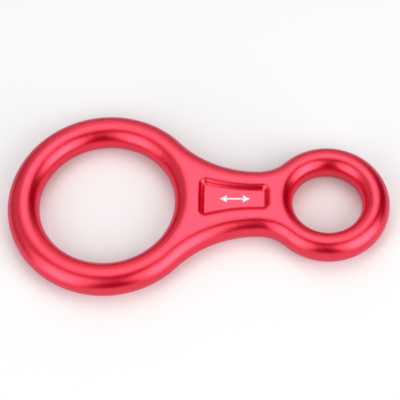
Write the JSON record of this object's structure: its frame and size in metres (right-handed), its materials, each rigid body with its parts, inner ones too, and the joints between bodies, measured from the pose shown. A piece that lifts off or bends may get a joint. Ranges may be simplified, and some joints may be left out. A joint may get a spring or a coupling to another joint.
{
  "type": "figure-eight descender",
  "caption": "Red anodised figure-eight descender with a large rope ring, a small connector eye and a sunken panel in the web between them.",
  "frame": {"origin": "centre of the rope ring's hole, on the mid-plane of the forging", "axes": "+X from the rope ring to the connector eye, along the length; +Z out of the face with the printed mark, square to both rings; +Y across"},
  "size_m": [0.1455, 0.076, 0.012],
  "materials": {
    "anodised_aluminium": "satin red anodised, bead blasted",
    "white_ink": "matt"
  },
  "bodies": {
    "root": {"forged_body": "anodised_aluminium", "load_mark": "white_ink"}
  },
  "joints": []
}
